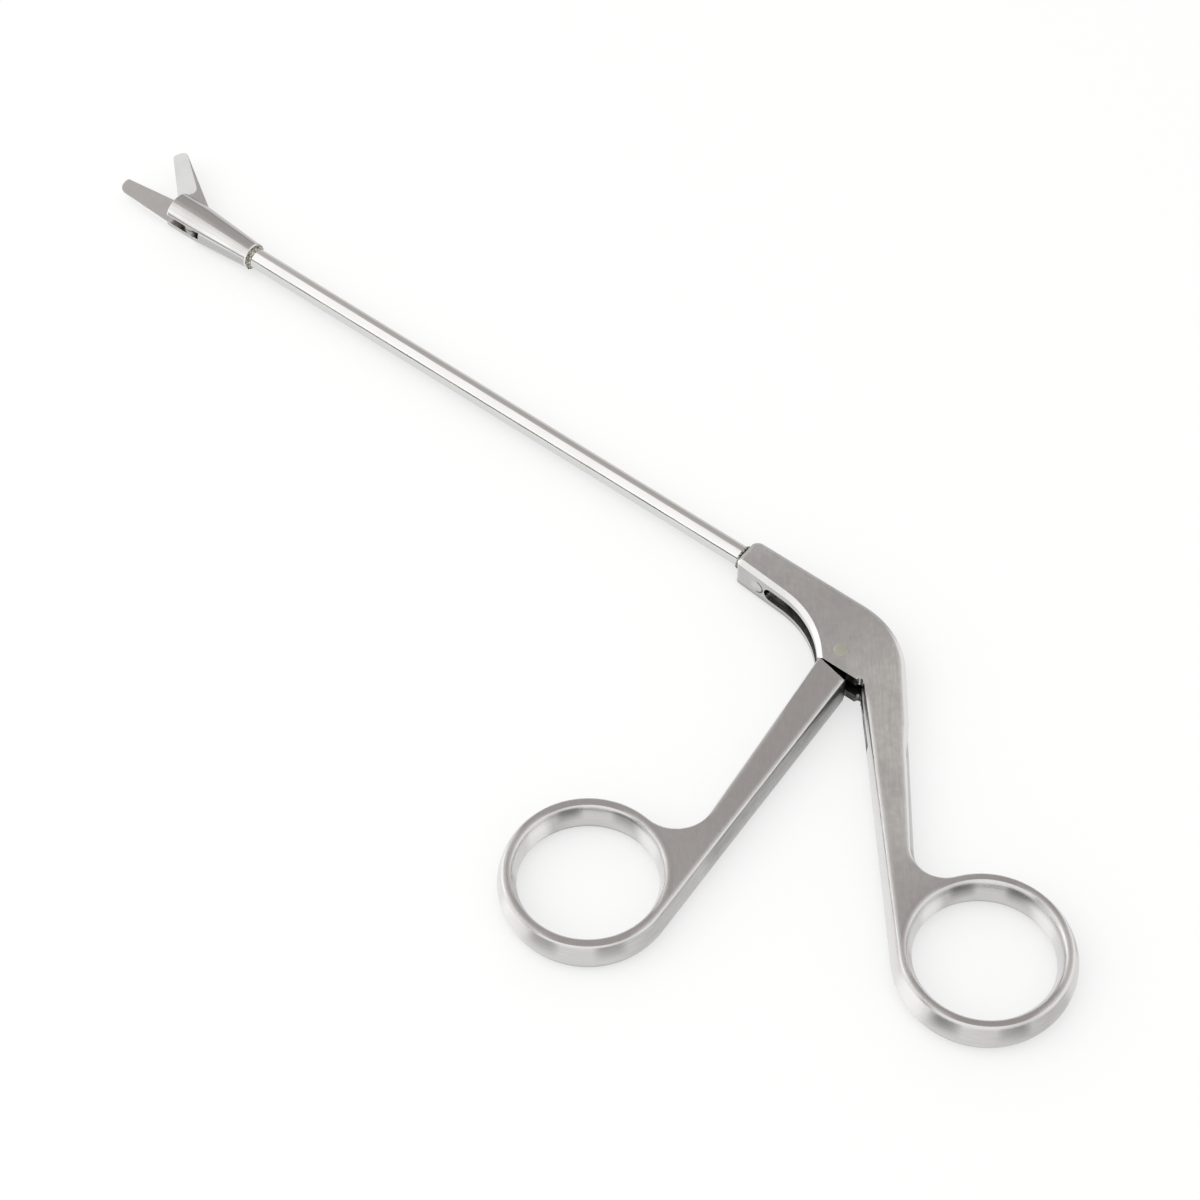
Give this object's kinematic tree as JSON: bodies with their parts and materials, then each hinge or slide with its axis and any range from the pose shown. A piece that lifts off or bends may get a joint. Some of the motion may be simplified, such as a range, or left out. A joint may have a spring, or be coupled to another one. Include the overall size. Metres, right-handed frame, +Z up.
{
  "type": "nasal scissors",
  "caption": "Pistol-handled nasal scissors with two finger rings, a slotted body, a slim tube shaft and a small pivoting blade that closes over a fixed blade.",
  "frame": {"origin": "on the resting plane, under the shaft axis and beside the handle pivot, on the pistol body's lower face", "axes": "+X along the shaft towards the blades, +Y towards the finger lever, +Z up from the face that it rests on"},
  "size_m": [0.2128, 0.084, 0.0062],
  "materials": {
    "satin_steel": "satin brushed stainless steel with polished bevels",
    "polished_steel": "finely polished stainless steel",
    "blade_steel": "ground and honed stainless steel",
    "pin_steel": "drawn stainless pin stock",
    "braze": "silver braze, slightly yellow"
  },
  "bodies": {
    "root": {"rear_handle": "satin_steel", "handle_pivot_rivet": "pin_steel", "shaft_tube": "polished_steel", "tube_lock_pin": "pin_steel", "jaw_housing": "polished_steel", "housing_braze": "braze", "blade_pivot_pin": "pin_steel"},
    "lever": {"finger_lever": "satin_steel"},
    "rod": {"drive_rod": "pin_steel", "rod_yoke": "pin_steel", "yoke_pin": "pin_steel", "rod_link": "pin_steel", "blade_drive_pin": "pin_steel"},
    "blade": {"moving_blade": "blade_steel"}
  },
  "joints": [
    {"name": "lever_hinge", "type": "hinge", "parent": "root", "child": "lever", "pos_m": [0, 0.0068, 0.0031], "axis": [0, 0, 1], "range_deg": [0, 14]},
    {"name": "rod_slide", "type": "slide", "parent": "root", "child": "rod", "axis": [1, 0, 0], "range_m": [0, 0.00168]},
    {"name": "blade_hinge", "type": "hinge", "parent": "root", "child": "blade", "pos_m": [0.1369, 0.00125, 0.0031], "axis": [0, 0, 1], "range_deg": [0, 37.2]}
  ],
  "couplings": [
    {"joint": "rod_slide", "follows": "lever_hinge", "m_per_rad": 0.006834},
    {"joint": "blade_hinge", "follows": "lever_hinge", "ratio": 2.6429}
  ]
}
